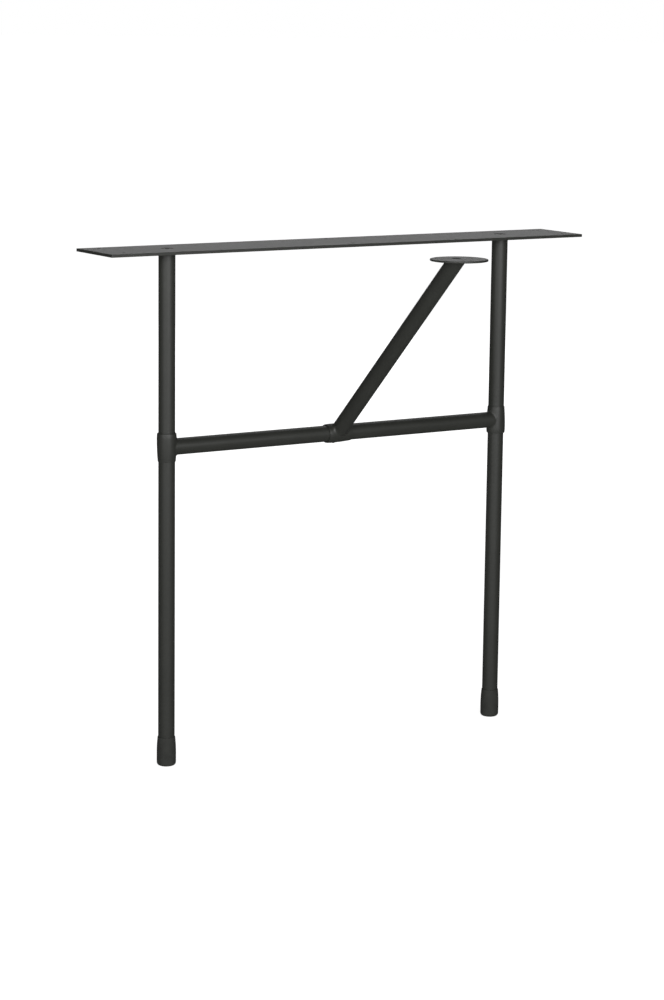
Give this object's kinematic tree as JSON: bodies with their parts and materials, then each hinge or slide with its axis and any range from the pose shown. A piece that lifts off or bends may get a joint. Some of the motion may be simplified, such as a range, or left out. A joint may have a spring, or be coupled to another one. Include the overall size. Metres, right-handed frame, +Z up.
{
  "type": "h-shaped table leg",
  "caption": "H-shaped tubular table leg: a flat top plate, upright tubes joined by a crossbar through crowned tees, a sloping brace up to a round disc, and foot caps.",
  "frame": {"origin": "centre of the top plate's upper face, the face that lies against the table top", "axes": "+Z up out of the top plate, +X along the plate, -Y the side that the brace leans to"},
  "size_m": [0.75, 0.3735, 0.7],
  "materials": {
    "powder_coat": "matt charcoal powder coat on steel",
    "black_screw": "blackened steel",
    "bare_steel": "turned steel",
    "foot_rubber": "matt moulded rubber"
  },
  "bodies": {
    "root": {"top_plate": "powder_coat", "left_leg_tube": "powder_coat", "right_leg_tube": "powder_coat", "crossbar_tube": "powder_coat", "brace_tube": "powder_coat", "left_tee": "powder_coat", "right_tee": "powder_coat", "centre_tee": "powder_coat", "brace_head": "powder_coat", "brace_disc": "powder_coat", "brace_bolt": "black_screw", "brace_saddle_washer": "black_screw", "brace_disc_screw": "black_screw", "left_leg_screw": "black_screw", "right_leg_screw": "black_screw", "left_leg_insert": "bare_steel", "right_leg_insert": "bare_steel", "left_foot_cap": "foot_rubber", "right_foot_cap": "foot_rubber"}
  },
  "joints": []
}
